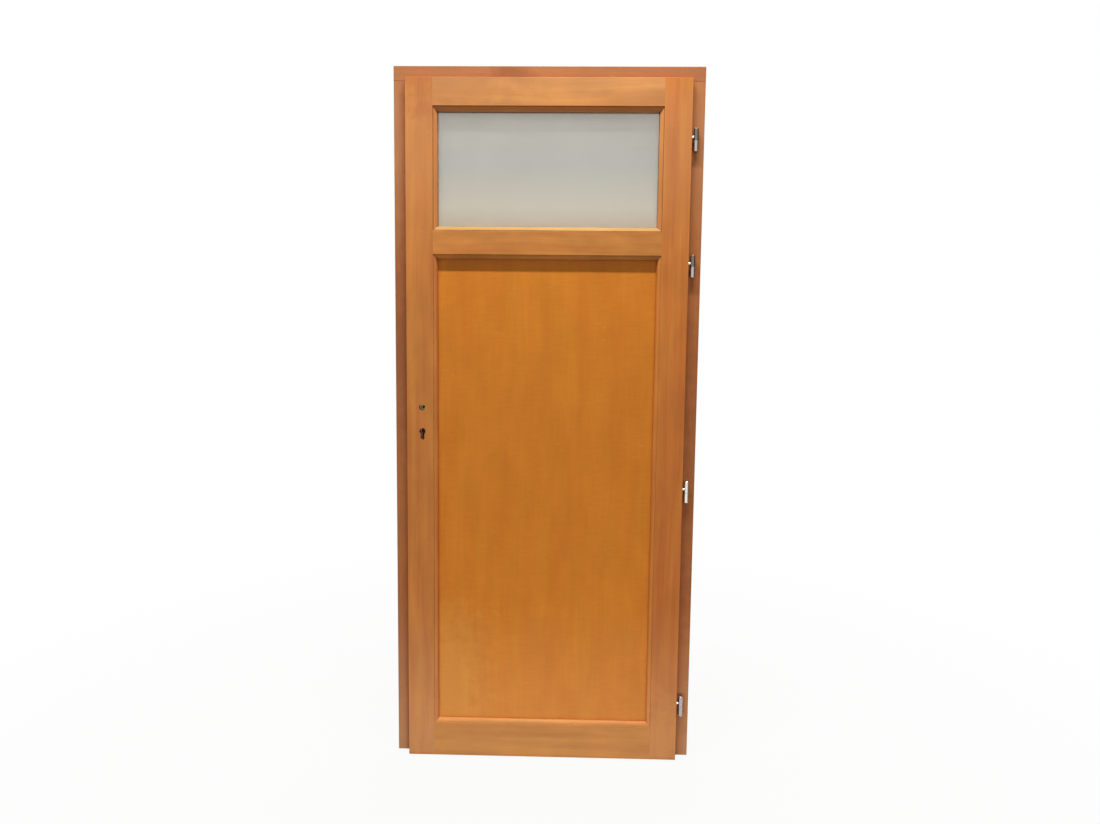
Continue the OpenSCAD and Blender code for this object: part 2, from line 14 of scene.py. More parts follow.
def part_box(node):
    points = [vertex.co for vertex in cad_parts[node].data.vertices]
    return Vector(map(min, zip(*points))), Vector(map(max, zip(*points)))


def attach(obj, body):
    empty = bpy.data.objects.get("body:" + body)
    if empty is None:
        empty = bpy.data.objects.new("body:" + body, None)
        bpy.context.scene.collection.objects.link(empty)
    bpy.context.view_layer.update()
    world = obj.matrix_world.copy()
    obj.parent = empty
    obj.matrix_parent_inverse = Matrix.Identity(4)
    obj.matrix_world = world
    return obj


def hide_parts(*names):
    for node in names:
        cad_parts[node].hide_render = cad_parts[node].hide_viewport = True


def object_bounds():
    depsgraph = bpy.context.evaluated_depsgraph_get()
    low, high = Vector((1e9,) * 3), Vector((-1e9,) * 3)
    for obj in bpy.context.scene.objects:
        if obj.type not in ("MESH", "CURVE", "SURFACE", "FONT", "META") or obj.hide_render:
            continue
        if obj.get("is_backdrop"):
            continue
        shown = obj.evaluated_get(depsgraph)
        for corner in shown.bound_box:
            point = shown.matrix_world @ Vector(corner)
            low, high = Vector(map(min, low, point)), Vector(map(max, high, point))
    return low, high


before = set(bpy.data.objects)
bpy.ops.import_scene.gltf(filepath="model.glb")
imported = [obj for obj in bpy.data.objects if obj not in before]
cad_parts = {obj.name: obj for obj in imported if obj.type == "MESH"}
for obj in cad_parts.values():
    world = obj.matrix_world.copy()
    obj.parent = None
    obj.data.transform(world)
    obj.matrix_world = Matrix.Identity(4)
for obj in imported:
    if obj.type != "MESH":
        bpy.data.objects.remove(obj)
CAD_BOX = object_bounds()

MM = 0.001
PHOTO_WIDTH = 1100
WHITE = (1.0, 1.0, 1.0, 1.0)
BOARD_SHIFT = (0.137, 0.291, 0.733)
NOISE_ROUGHNESS = 0.55

log = logging.getLogger("back_door")

Names = tuple[str, ...]
Swatch = tuple[int, int, int]
Point = tuple[float, float, float]
Colour = tuple[float, float, float, float]
Piece = bpy.types.Object
Material = bpy.types.Material
Socket = bpy.types.NodeSocket
Feed = Socket | Material | float | tuple[float, ...]


class Grain(Enum):
    """Which way a board's grain runs, as the turn that brings it upright."""

    UPRIGHT = (0.0, 0.0, 0.0)
    LEVEL = (0.0, math.pi / 2, 0.0)

    def axis(self) -> Vector:
        """Direction of the grain in the object's frame."""
        return Vector((0, 0, 1)) if self is Grain.UPRIGHT else Vector((1, 0, 0))


class Facing(Enum):
    """Which way a row of screw heads looks, as a turn about Y."""

    LOCK_EDGE = -math.pi / 2
    DOORWAY = math.pi / 2


def tone(swatch: Swatch) -> Colour:
    """Turn a swatch in screen values into the linear colour that shaders use.

    Args:
        swatch: Red, green and blue from 0 to 255.

    Returns:
        The linear colour with full alpha.
    """
    shares = [value / 255 for value in swatch]
    linear = [s / 12.92 if s <= 0.04045 else ((s + 0.055) / 1.055) ** 2.4 for s in shares]
    return (linear[0], linear[1], linear[2], 1.0)


class Wiring:
    """Adds nodes to one node tree and joins them."""

    def __init__(self, tree: bpy.types.NodeTree) -> None:
        """Keep the tree that the nodes go into."""
        self.tree = tree

    def node(
        self, kind: str, feeds: Mapping[str | int, Feed] | None = None, **options: object
    ) -> bpy.types.Node:
        """Add one node, set its options and feed its sockets.

        Args:
            kind: Blender's name for the node type.
            feeds: A value or another node's socket for each input.
            **options: Settings of the node itself.

        Returns:
            The new node.
        """
        node = self.tree.nodes.new(kind)
        for option, value in options.items():
            setattr(node, option, value)
        for socket, feed in (feeds or {}).items():
            if isinstance(feed, Socket):
                self.tree.links.new(feed, node.inputs[socket])
            else:
                node.inputs[socket].default_value = feed
        return node

    def place(self, grain: Grain = Grain.UPRIGHT, shift: Point = (0.0, 0.0, 0.0)) -> Socket:
        """Give the piece's own coordinates, turned to its grain and shifted.

        Args:
            grain: Which way the grain runs.
            shift: How far the pattern is moved, so that no two boards match.

        Returns:
            The coordinates, with the grain along Z.
        """
        own = self.node("ShaderNodeTexCoord").outputs["Object"]
        feeds = {"Vector": own, "Rotation": grain.value, "Location": shift}
        return self.node("ShaderNodeMapping", feeds).outputs["Vector"]

    def noise(self, place: Socket, scale: float, detail: float) -> Socket:
        """Add a noise texture and give its value."""
        feeds = {"Vector": place, "Scale": scale, "Detail": detail, "Roughness": NOISE_ROUGHNESS}
        return self.node("ShaderNodeTexNoise", feeds).outputs["Fac"]

    def remap(self, value: Socket, low: float, high: float, start: Feed, end: Feed) -> Socket:
        """Stretch a value from one range to another, held at both ends.

        Args:
            value: The value to stretch.
            low: The value that becomes start.
            high: The value that becomes end.
            start: First end of the new range.
            end: Second end of the new range.

        Returns:
            The stretched value.
        """
        feeds = {0: value, 1: low, 2: high, 3: start, 4: end}
        return self.node("ShaderNodeMapRange", feeds).outputs[0]

    def mask(self, value: Socket, low: float, high: float) -> Socket:
        """Stretch a value so that it runs from 0 at low to 1 at high."""
        return self.remap(value, low, high, 0.0, 1.0)

    def sum_up(self, operation: str, *feeds: Feed) -> Socket:
        """Add a math node on the given feeds."""
        return self.node("ShaderNodeMath", dict(enumerate(feeds)), operation=operation).outputs[0]

    def times(self, value: Socket, factor: Feed) -> Socket:
        """Multiply a value."""
        return self.sum_up("MULTIPLY", value, factor)

    def vector(self, operation: str, *feeds: Feed) -> Socket:
        """Add a vector math node on the given feeds."""
        node = self.node("ShaderNodeVectorMath", dict(enumerate(feeds)), operation=operation)
        return node.outputs["Value" if operation in ("LENGTH", "DOT_PRODUCT") else "Vector"]

    def part(self, vector: Socket, axis: str) -> Socket:
        """Take one coordinate out of a vector."""
        return self.node("ShaderNodeSeparateXYZ", {0: vector}).outputs[axis]

    def blend(self, share: Feed, first: Feed, second: Feed, mode: str = "MIX") -> Socket:
        """Mix two colours.

        Args:
            share: How much of the second colour, from 0 to 1.
            first: The colour that is there.
            second: The colour that is mixed in.
            mode: Blender's name for the way of mixing.

        Returns:
            The mixed colour.
        """
        feeds = {0: share, 6: first, 7: second}
        return self.node("ShaderNodeMix", feeds, data_type="RGBA", blend_type=mode).outputs[2]

    def coat(self, colour: Feed, mask: Socket, share: float, swatch: Swatch) -> Socket:
        """Lay a tone over a colour where a mask lets a share of it through."""
        return self.blend(self.times(mask, share), colour, tone(swatch))

    def ramp(self, value: Socket, stops: Mapping[float, Swatch]) -> Socket:
        """Run a value through a row of colours.

        Args:
            value: The value, from 0 to 1.
            stops: The colour at each place along the row, in rising order.

        Returns:
            The colour.
        """
        node = self.node("ShaderNodeValToRGB", {"Fac": value})
        row = node.color_ramp.elements
        row.remove(row[-1])
        for number, (place, swatch) in enumerate(stops.items()):
            stop = row.new(place) if number else row[0]
            stop.position = place
            stop.color = tone(swatch)
        return node.outputs["Color"]

    def bump(self, height: Socket, strength: float, distance: float) -> Socket:
        """Turn a height into a normal."""
        feeds = {"Height": height, "Strength": strength, "Distance": distance}
        return self.node("ShaderNodeBump", feeds).outputs["Normal"]


class EffectGroup:
    """A surface effect that several finishes share, as one shader node group."""

    def __init__(self, name: str, vectors: Names, values: Names, outputs: Names) -> None:
        """Make the empty group with its named sockets.

        Args:
            name: The group's name.
            vectors: Names of the vectors that it takes in.
            values: Names of the numbers that it takes in.
            outputs: Names of the values that it puts out.
        """
        self.tree = bpy.data.node_groups.new(name, "ShaderNodeTree")
        rows = (("INPUT", "Vector", vectors), ("INPUT", "Float", values), ("OUTPUT", "Float", outputs))
        for way, kind, sockets in rows:
            for socket in sockets:
                self.tree.interface.new_socket(
                    name=socket, in_out=way, socket_type=f"NodeSocket{kind}"
                )
        self.wires = Wiring(self.tree)
        self.entry = self.tree.nodes.new("NodeGroupInput").outputs
        self.exit = self.tree.nodes.new("NodeGroupOutput").inputs

    def put_out(self, name: str, value: Socket) -> None:
        """Join a value to one of the group's outputs."""
        self.tree.links.new(value, self.exit[name])

    def streaks(self, place: Socket, width: Feed, stretch: Feed, detail: float) -> Socket:
        """Add noise drawn out along Z, as fibres and brush marks are.

        Args:
            place: Coordinates with the streaks along Z.
            width: Width of a streak in metres.
            stretch: How many times longer than wide a streak is.
            detail: Octaves of the noise.

        Returns:
            The noise value.
        """
        across = self.wires.sum_up("DIVIDE", 1.0, width)
        along = self.wires.sum_up("DIVIDE", across, stretch)
        feeds = {"X": across, "Y": across, "Z": along}
        scale = self.wires.node("ShaderNodeCombineXYZ", feeds).outputs[0]
        return self.wires.noise(self.wires.vector("MULTIPLY", place, scale), 1.0, detail)

    def placed(self, wires: Wiring, feeds: Mapping[str, Feed]) -> bpy.types.NodeOutputs:
        """Put the group into a material and give its outputs."""
        return wires.node("ShaderNodeGroup", feeds, node_tree=self.tree).outputs


class TimberGrain(EffectGroup):
    """Figure, growth lines, pores and cross flame of a board whose grain runs along Z."""

    WANDER_SCALE: float = 1.7
    WANDER: Point = (0.035, 0.035, 0.0)
    FIGURE_STRETCH: float = 34.0
    LINE_STRETCH: float = 60.0
    PORE_STRETCH: float = 14.0
    CLOUD_WIDTH: float = 0.07
    CLOUD_STRETCH: float = 2.2
    FLAME_WIDTH: float = 0.034
    FLAME_STRETCH: float = 0.16

    def __init__(self) -> None:
        """Build the group."""
        sizes = ("Figure Width", "Line Width", "Pore Width", "Length")
        outputs = ("Figure", "Lines", "Pores", "Cloud", "Flame")
        super().__init__("Timber grain", ("Place",), sizes, outputs)
        wires, entry, place = self.wires, self.entry, self.entry["Place"]
        feeds = {"Vector": place, "Scale": self.WANDER_SCALE, "Detail": 1.0}
        wander = wires.node("ShaderNodeTexNoise", feeds).outputs["Color"]
        lean = wires.vector("MULTIPLY_ADD", wander, self.WANDER, place)
        figure_run = wires.times(entry["Length"], self.FIGURE_STRETCH)
        line_run = wires.times(entry["Length"], self.LINE_STRETCH)
        figure = self.streaks(lean, entry["Figure Width"], figure_run, 3.0)
        lines = self.streaks(lean, entry["Line Width"], line_run, 3.0)
        pores = self.streaks(lean, entry["Pore Width"], self.PORE_STRETCH, 0.0)
        cloud = self.streaks(place, self.CLOUD_WIDTH, self.CLOUD_STRETCH, 2.0)
        flame = self.streaks(lean, self.FLAME_WIDTH, self.FLAME_STRETCH, 3.0)
        # The noise values at which each mask starts and is full.
        bands = {
            "Figure": (figure, 0.34, 0.66),
            "Lines": (lines, 0.36, 0.64),
            "Pores": (pores, 0.62, 0.70),
            "Cloud": (cloud, 0.36, 0.64),
            "Flame": (flame, 0.36, 0.64),
        }
        for name, band in bands.items():
            self.put_out(name, wires.mask(*band))


class EdgeWear(EffectGroup):
    """Where hands and cleaning have rubbed the arrises."""

    PATCH_SCALE: float = 28.0
    SAMPLES: int = 6

    def __init__(self) -> None:
        """Build the group."""
        super().__init__("Edge wear", ("Place",), ("Radius",), ("Wear",))
        wires = self.wires
        feeds = {"Radius": self.entry["Radius"]}
        rounded = wires.node("ShaderNodeBevel", feeds, samples=self.SAMPLES).outputs[0]
        true = wires.node("ShaderNodeNewGeometry").outputs["Normal"]
        turned = wires.mask(wires.vector("DOT_PRODUCT", rounded, true), 0.995, 0.86)
        noise = wires.noise(self.entry["Place"], self.PATCH_SCALE, 3.0)
        patches = wires.remap(noise, 0.36, 0.62, 0.25, 1.0)
        self.put_out("Wear", wires.times(turned, patches))


class CornerDustAndShade(EffectGroup):
    """Darkening of the inner corners: dirt and old lacquer settled there, and painted shade where the
    corners are closed in.
    """

    NARROW_SHARE: float = 0.3
    PATCH_SCALE: float = 45.0
    SAMPLES: int = 6

    def __init__(self) -> None:
        """Build the group."""
        super().__init__("Corner dirt and shade", ("Place",), ("Reach",), ("Dirt And Shade",))
        wires, reach = self.wires, self.entry["Reach"]
        broad = self.hidden(reach, 0.92, 0.4)
        narrow = self.hidden(wires.times(reach, self.NARROW_SHARE), 0.93, 0.55)
        deep = wires.sum_up("MAXIMUM", broad, narrow)
        noise = wires.noise(self.entry["Place"], self.PATCH_SCALE, 3.0)
        patches = wires.remap(noise, 0.34, 0.66, 0.55, 1.0)
        self.put_out("Dirt And Shade", wires.times(deep, patches))

    def hidden(self, reach: Socket, open_share: float, closed_share: float) -> Socket:
        """Tell how far a point is closed in by what is near it.

        Args:
            reach: How far away a surface still counts.
            open_share: Share of free sky at which neither dirt nor painted shade is laid.
            closed_share: Share of free sky at which both are laid fully.

        Returns:
            From 0 in the open to 1 in a corner.
        """
        feeds = {"Distance": reach}
        sky = self.wires.node("ShaderNodeAmbientOcclusion", feeds, samples=self.SAMPLES)
        return self.wires.mask(sky.outputs["AO"], open_share, closed_share)


class PaintedHeightLight(EffectGroup):
    """Painted light: the lacquer is painted paler high up and close to the floor, where the overhead lamp
    and the light off the floor fall more strongly.
    """

    HIGH: tuple[float, float] = (1.5, 1.8)
    HIGH_SHARE: float = 0.5
    CROWN: tuple[float, float] = (1.93, 2.06)
    LOW: tuple[float, float] = (0.5, 0.06)

    def __init__(self) -> None:
        """Build the group."""
        super().__init__("Painted height light", ("Place",), ("Crown",), ("Fade",))
        wires = self.wires
        height = wires.part(self.entry["Place"], "Z")
        high = wires.remap(height, *self.HIGH, 0.0, self.HIGH_SHARE)
        crown = wires.remap(height, *self.CROWN, 1.0, self.entry["Crown"])
        high = wires.times(high, crown)
        low = wires.mask(height, *self.LOW)
        self.put_out("Fade", wires.sum_up("MAXIMUM", high, low))


class Scuffs(EffectGroup):
    """Sparse short scrapes in the lacquer, most of them nearly level."""

    LEAN: float = math.radians(78)
    WIDTH: float = 5 * MM
    STRETCH: float = 6.0
    PATCH_SCALE: float = 9.0

    def __init__(self) -> None:
        """Build the group."""
        super().__init__("Scuffs", ("Place",), (), ("Scrape",))
        wires, place = self.wires, self.entry["Place"]
        feeds = {"Vector": place, "Rotation": (0.0, self.LEAN, 0.0)}
        level = wires.node("ShaderNodeMapping", feeds).outputs[0]
        scrapes = wires.mask(self.streaks(level, self.WIDTH, self.STRETCH, 2.0), 0.64, 0.74)
        patches = wires.mask(wires.noise(place, self.PATCH_SCALE, 1.0), 0.58, 0.68)
        self.put_out("Scrape", wires.times(scrapes, patches))


class RaggedPatch(EffectGroup):
    """One patch of the surface, with a soft and ragged edge."""

    EDGE_SCALE: float = 30.0
    EDGE_DEPTH: float = 0.3

    def __init__(self) -> None:
        """Build the group."""
        super().__init__("Ragged patch", ("Place", "Spot", "Half"), (), ("Patch",))
        wires, place = self.wires, self.entry["Place"]
        away = wires.vector("SUBTRACT", place, self.entry["Spot"])
        reach = wires.vector("LENGTH", wires.vector("DIVIDE", away, self.entry["Half"]))
        noise = wires.noise(place, self.EDGE_SCALE, 3.0)
        ragged = wires.remap(noise, 0.3, 0.7, -self.EDGE_DEPTH, self.EDGE_DEPTH)
        self.put_out("Patch", wires.mask(wires.sum_up("ADD", reach, ragged), 1.0, 0.3))


class MetalBrush(EffectGroup):
    """Fine marks and dull spots of plated metal, with the marks along Z."""

    MARK_STRETCH: float = 40.0
    SPOT_SCALE: float = 160.0

    def __init__(self) -> None:
        """Build the group."""
        super().__init__("Metal brush", ("Place",), ("Mark Width",), ("Marks", "Dull"))
        wires, place = self.wires, self.entry["Place"]
        marks = self.streaks(place, self.entry["Mark Width"], self.MARK_STRETCH, 2.0)
        self.put_out("Marks", wires.mask(marks, 0.3, 0.7))
        self.put_out("Dull", wires.mask(wires.noise(place, self.SPOT_SCALE, 4.0), 0.42, 0.68))


class Effects:
    """The shared node groups, each built once."""

    def __init__(self) -> None:
        """Build all the groups."""
        self.grain = TimberGrain()
        self.wear = EdgeWear()
        self.dust_and_shade = CornerDustAndShade()
        self.fade = PaintedHeightLight()
        self.scuffs = Scuffs()
        self.patch = RaggedPatch()
        self.brush = MetalBrush()


def new_material(name: str) -> tuple[Material, Wiring]:
    """Make an empty node material.

    Args:
        name: The material's name.

    Returns:
        The material and the wiring of its tree.
    """
    material = bpy.data.materials.new(name)
    material.use_nodes = True
    material.node_tree.nodes.clear()
    return material, Wiring(material.node_tree)


def close_material(wires: Wiring, feeds: Mapping[str | int, Feed]) -> None:
    """Add the surface shader with its feeds and join it to the output.

    Args:
        wires: The material's wiring.
        feeds: What feeds the shader's sockets.
    """
    shader = wires.node("ShaderNodeBsdfPrincipled", feeds)
    wires.node("ShaderNodeOutputMaterial", {"Surface": shader.outputs[0]})


@dataclass(frozen=True)
class TonePatch:
    """A darker or paler patch with a soft, ragged edge."""

    spot: Point
    half: Point
    swatch: Swatch
    share: float

    def laid(self, effects: Effects, wires: Wiring, place: Socket, colour: Socket) -> Socket:
        """Lay the patch over a colour.

        Args:
            effects: The shared node groups.
            wires: The material's wiring.
            place: The piece's own coordinates.
            colour: The colour that is there.

        Returns:
            The colour with the patch.
        """
        feeds = {"Place": place, "Spot": self.spot, "Half": self.half}
        patch = effects.patch.placed(wires, feeds)["Patch"]
        return wires.coat(colour, patch, self.share, self.swatch)


@dataclass(frozen=True)
class TimberFinish:
    """Timber under a wood dye and a satin lacquer."""

    name: str
    early: Swatch
    late: Swatch
    streak: Swatch
    pore: Swatch = (92, 46, 20)
    rubbed: Swatch = (222, 158, 86)
    # Paler tone painted in as light, high up and close to the floor.
    painted_light_tone: Swatch = (218, 186, 146)
    # Tone of the corner mask: dirt, and painted shade in the inner corners.
    dust_and_shade_tone: Swatch = (104, 34, 12)
    scraped: Swatch = (240, 184, 104)
    figure_width: float = 22 * MM
    line_width: float = 5 * MM
    pore_width: float = 0.8 * MM
    figure_length: float = 1.0
    line_share: float = 0.42
    streak_share: float = 0.6
    cloud_share: float = 0.12
    flame_share: float = 0.0
    pore_share: float = 0.06
    painted_light_strength: float = 0.22
    crown: float = 0.2
    scuff_share: float = 0.12
    wear_share: float = 0.12
    wear_radius: float = 1.2 * MM
    dust_and_shade_share: float = 0.6
    dust_and_shade_reach: float = 18 * MM
    shelter: float = 0.6
    tone_patch: TonePatch | None = None
    roughness: float = 0.42
    gloss_spread: tuple[float, float] = (-0.05, 0.07)
    pore_depth: float = -0.8
    relief: float = 0.12
    relief_depth: float = 0.3 * MM
    sheen: float = 0.2

    def material(self, effects: Effects, grain: Grain, board: int) -> Material:
        """Make the finish for one board.

        Args:
            effects: The shared node groups.
            grain: Which way this board's grain runs.
            board: The board's number, which moves the figure so that boards differ.

        Returns:
            The finished material.
        """
        material, wires = new_material(f"{self.name}_{board}")
        place = wires.place(grain, tuple(board * step for step in BOARD_SHIFT))
        look = effects.grain.placed(
            wires,
            {
                "Place": place,
                "Figure Width": self.figure_width,
                "Line Width": self.line_width,
                "Pore Width": self.pore_width,
                "Length": self.figure_length,
            },
        )
        wear = effects.wear.placed(wires, {"Place": place, "Radius": self.wear_radius})["Wear"]
        # The corner mask lays dirt and painted shade into the inner corners.
        dust_and_shade = effects.dust_and_shade.placed(wires, {"Place": place, "Reach": self.dust_and_shade_reach})["Dirt And Shade"]
        colour = wires.coat(tone(self.early), look["Lines"], self.line_share, self.late)
        colour = wires.coat(colour, look["Figure"], self.streak_share, self.streak)
        for mask, share in (("Cloud", self.cloud_share), ("Flame", self.flame_share)):
            shade = wires.remap(look[mask], 0.0, 1.0, 1.0 - share / 2, 1.0 + share / 2)
            colour = wires.blend(1.0, colour, shade, "MULTIPLY")
        level = wires.place()
        # Painted light: paler high up and near the floor, kept out of the shaded corners.
        fade = effects.fade.placed(wires, {"Place": level, "Crown": self.crown})["Fade"]
        painted_light_share = wires.remap(dust_and_shade, 0.0, self.shelter, self.painted_light_strength, 0.0)
        colour = wires.blend(wires.times(fade, painted_light_share), colour, tone(self.painted_light_tone))
        if self.tone_patch is not None:
            colour = self.tone_patch.laid(effects, wires, level, colour)
        coats = (
            (effects.scuffs.placed(wires, {"Place": level})["Scrape"], self.scuff_share, self.scraped),
            (look["Pores"], self.pore_share, self.pore),
            (wear, self.wear_share, self.rubbed),
            (dust_and_shade, self.dust_and_shade_share, self.dust_and_shade_tone),
        )
        for coat in coats:
            colour = wires.coat(colour, *coat)
        ends = [self.roughness + step for step in self.gloss_spread]
        gloss = wires.remap(look["Lines"], 0.0, 1.0, *ends)
        relief = wires.sum_up("MULTIPLY_ADD", look["Pores"], self.pore_depth, look["Lines"])
        close_material(
            wires,
            {
                "Base Color": colour,
                "Roughness": gloss,
                "Normal": wires.bump(relief, self.relief, self.relief_depth),
                "Specular IOR Level": self.sheen,
            },
        )
        return material


@dataclass(frozen=True)
class FrostedGlassFinish:
    """Etched glass that lets light through and hides what is behind, with painted light and reflection
    that change with height.
    """

    name: str
    painted_light_by_height: Mapping[float, Swatch]
    veil: Swatch = (214, 212, 206)
    # Tone of dirt and painted shade near the beads.
    grime_and_shade: Swatch = (128, 122, 96)
    haze_scale: float = 5.0
    haze_share: float = 0.12
    dust_and_shade_share: float = 0.34
    dust_and_shade_reach: float = 50 * MM
    transmission: float = 0.96
    refraction: float = 1.45
    mirror: float = 0.28
    grit_scale: float = 1100.0
    roughness: tuple[float, float] = (0.5, 0.66)
    relief: float = 0.25
    relief_depth: float = 0.1 * MM

    def material(self, effects: Effects) -> Material:
        """Make the glass.

        Args:
            effects: The shared node groups.

        Returns:
            The finished material.
        """
        material, wires = new_material(self.name)
        place = wires.place()
        low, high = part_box("glass_pane")
        # Painted light and reflection: warmer and lighter low down, greyer high up.
        colour = wires.ramp(wires.mask(wires.part(place, "Z"), low.z, high.z), self.painted_light_by_height)
        haze = wires.mask(wires.noise(place, self.haze_scale, 3.0), 0.35, 0.65)
        colour = wires.coat(colour, haze, self.haze_share, self.veil)
        # Darker near the beads: dirt and painted shade from the corner mask.
        dust_and_shade = effects.dust_and_shade.placed(wires, {"Place": place, "Reach": self.dust_and_shade_reach})["Dirt And Shade"]
        colour = wires.coat(colour, dust_and_shade, self.dust_and_shade_share, self.grime_and_shade)
        grit = wires.noise(place, self.grit_scale, 2.0)
        close_material(
            wires,
            {
                "Base Color": colour,
                "Roughness": wires.remap(grit, 0.3, 0.7, *self.roughness),
                "Normal": wires.bump(grit, self.relief, self.relief_depth),
                "Transmission Weight": self.transmission,
                "IOR": self.refraction,
                "Specular IOR Level": self.mirror,
            },
        )
        return material


@dataclass(frozen=True)
class MetalFinish:
    """Plated metal with fine marks, dull spots, bright edges and, on hinge stems, a painted glint."""

    name: str
    bright: Swatch
    dull: Swatch
    edge: Swatch
    # Tone of the corner mask: dirt, and painted shade in the hollows.
    dust_and_shade_tone: Swatch = (60, 50, 42)
    roughness: float = 0.26
    dull_spread: float = 0.14
    dull_share: float = 0.6
    mark_width: float = 0.35 * MM
    edge_share: float = 0.5
    wear_radius: float = 0.5 * MM
    dust_and_shade_share: float = 0.4
    dust_and_shade_reach: float = 4 * MM
    painted_glint: Swatch = (248, 230, 214)
    glint_below: float | None = None
    glint_blur: float = 0.2 * MM
    relief: float = 0.12
    relief_depth: float = 0.05 * MM

    def material(self, effects: Effects) -> Material:
        """Make the metal.

        Args:
            effects: The shared node groups.

        Returns:
            The finished material.
        """
        material, wires = new_material(self.name)
        place = wires.place()
        marks = effects.brush.placed(wires, {"Place": place, "Mark Width": self.mark_width})
        wear = effects.wear.placed(wires, {"Place": place, "Radius": self.wear_radius})["Wear"]
        dust_and_shade = effects.dust_and_shade.placed(wires, {"Place": place, "Reach": self.dust_and_shade_reach})["Dirt And Shade"]
        colour = wires.coat(tone(self.bright), marks["Dull"], self.dull_share, self.dull)
        colour = wires.coat(colour, wear, self.edge_share, self.edge)
        colour = wires.coat(colour, dust_and_shade, self.dust_and_shade_share, self.dust_and_shade_tone)
        # Painted highlight: the stem beside the barrel is painted near white as the lamp's glint on it.
        if self.glint_below is not None:
            near = self.glint_below - self.glint_blur
            far = self.glint_below + self.glint_blur
            painted_light_share = wires.mask(wires.part(place, "X"), far, near)
            colour = wires.blend(painted_light_share, colour, tone(self.painted_glint))
        polish = wires.sum_up("MULTIPLY_ADD", marks["Dull"], self.dull_spread, self.roughness)
        close_material(
            wires,
            {
                "Base Color": colour,
                "Metallic": 1.0,
                "Roughness": polish,
                "Normal": wires.bump(marks["Marks"], self.relief, self.relief_depth),
            },
        )
        return material


STILE_TIMBER = TimberFinish(
    "stile_timber",
    (204, 135, 65),
    (190, 118, 59),
    (181, 98, 55),
    dust_and_shade_tone=(136, 26, 4),
    line_share=0.33,
    streak_share=0.5,
    dust_and_shade_share=0.95,
    tone_patch=TonePatch(spot=(-0.376, -0.043, 2.06), half=(0.07, 0.2, 0.16), swatch=(160, 90, 54), share=0.45),
)
RED_STILE_TIMBER = TimberFinish(
    "red_stile_timber",
    (205, 131, 58),
    (190, 113, 51),
    (183, 96, 48),
    tone_patch=TonePatch(spot=(0.36, -0.043, 0.05), half=(0.1, 0.2, 0.2), swatch=(222, 158, 90), share=0.3),
)
RAIL_TIMBER = TimberFinish(
    "rail_timber",
    (203, 138, 68),
    (187, 121, 57),
    (183, 108, 52),
    dust_and_shade_tone=(124, 24, 4),
    line_share=0.33,
    cloud_share=0.28,
    painted_light_strength=0.14,
    crown=2.6,
    dust_and_shade_share=0.7,
    tone_patch=TonePatch(spot=(-0.27, -0.043, 2.02), half=(0.26, 0.2, 0.12), swatch=(164, 112, 68), share=0.36),
)
FOOT_RAIL_TIMBER = replace(
    RAIL_TIMBER,
    name="foot_rail_timber",
    dust_and_shade_tone=(132, 68, 18),
    cloud_share=0.16,
    dust_and_shade_share=0.6,
    dust_and_shade_reach=9 * MM,
    tone_patch=None,
    sheen=0.06,
)
FRAME_TIMBER = TimberFinish(
    "frame_timber",
    (172, 107, 58),
    (160, 95, 50),
    (156, 87, 50),
    rubbed=(196, 132, 84),
    dust_and_shade_tone=(116, 44, 12),
    painted_light_strength=0.26,
    dust_and_shade_share=0.3,
    crown=0.6,
)
HEAD_TIMBER = replace(
    FRAME_TIMBER,
    name="head_timber",
    tone_patch=TonePatch(spot=(-0.113, -0.027, 2.056), half=(0.085, 0.2, 0.045), swatch=(120, 62, 32), share=0.45),
)
LOCK_JAMB_TIMBER = replace(
    FRAME_TIMBER,
    name="lock_jamb_timber",
    early=(176, 113, 64),
    late=(164, 101, 56),
    streak=(160, 93, 56),
    dust_and_shade_tone=(150, 40, 4),
    dust_and_shade_share=0.5,
    # Darker patch half-way up the lock-side jamb: painted shade.
    tone_patch=TonePatch(spot=(-0.43, -0.027, 1.24), half=(0.1, 0.2, 0.42), swatch=(122, 76, 52), share=0.34),
)
# A brighter copy of the frame's finish for the hinge-side jamb: painted light.
LIT_HINGE_JAMB_TIMBER = replace(
    FRAME_TIMBER,
    name="lit_hinge_jamb_timber",
    early=(184, 117, 63),
    late=(172, 104, 55),
    streak=(169, 96, 55),
    dust_and_shade_share=0.05,
    # Darker patch along the middle of the hinge-side jamb: painted shade.
    tone_patch=TonePatch(spot=(0.455, -0.027, 0.95), half=(0.045, 0.2, 0.75), swatch=(116, 70, 48), share=0.34),
)
BEAD_TIMBER = TimberFinish(
    "bead_timber",
    (200, 132, 68),
    (190, 118, 60),
    (191, 114, 57),
    figure_width=9 * MM,
    painted_light_strength=0.14,
    crown=1.0,
    sheen=0.17,
    dust_and_shade_share=0.8,
    dust_and_shade_reach=6 * MM,
)
# A copy of the bead finish for the bottom bead, retinted yellower for the strong light on its top: a lit
# copy.
TOP_LIT_SILL_BEAD_TIMBER = replace(
    BEAD_TIMBER,
    name="top_lit_sill_bead_timber",
    early=(179, 138, 67),
    late=(170, 124, 59),
    streak=(171, 120, 57),
    sheen=0.1,
)
PANEL_VENEER = TimberFinish(
    "panel_veneer",
    (212, 134, 42),
    (202, 120, 36),
    (205, 114, 36),
    pore=(150, 80, 20),
    dust_and_shade_tone=(146, 14, 6),
    figure_width=44 * MM,
    line_width=9 * MM,
    figure_length=0.3,
    line_share=0.3,
    streak_share=0.38,
    cloud_share=0.08,
    flame_share=0.05,
    pore_share=0.05,
    painted_light_strength=0.12,
    scuff_share=0.3,
    dust_and_shade_share=0.34,
    dust_and_shade_reach=12 * MM,
    roughness=0.4,
    tone_patch=TonePatch(spot=(-0.29, -0.027, 0.2), half=(0.16, 0.2, 0.34), swatch=(228, 164, 80), share=0.36),
)
